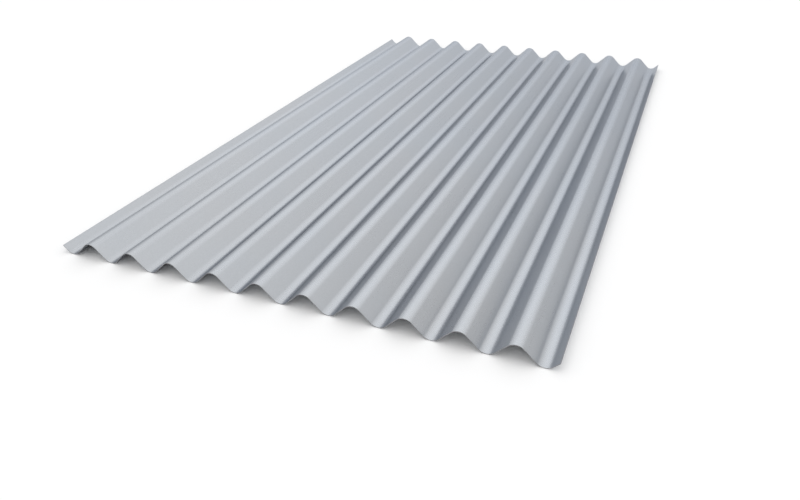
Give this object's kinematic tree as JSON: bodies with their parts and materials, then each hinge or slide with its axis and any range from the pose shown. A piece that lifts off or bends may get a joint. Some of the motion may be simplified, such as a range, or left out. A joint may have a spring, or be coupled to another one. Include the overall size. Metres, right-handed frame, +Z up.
{
  "type": "corrugated metal sheet",
  "caption": "Rectangular metal sheet rolled into even, round-topped corrugations, with square-cut ends and long edges that stop half way up a flank.",
  "frame": {"origin": "centre of the sheet, on the surface that it lies on", "axes": "+X across the corrugations, +Y along them to the far end, +Z up"},
  "size_m": [0.7124, 1.2192, 0.023],
  "materials": {
    "zinc_coated_steel": "satin light grey zinc coating with a fine, even spangle"
  },
  "bodies": {
    "root": {"corrugated_sheet": "zinc_coated_steel"}
  },
  "joints": []
}
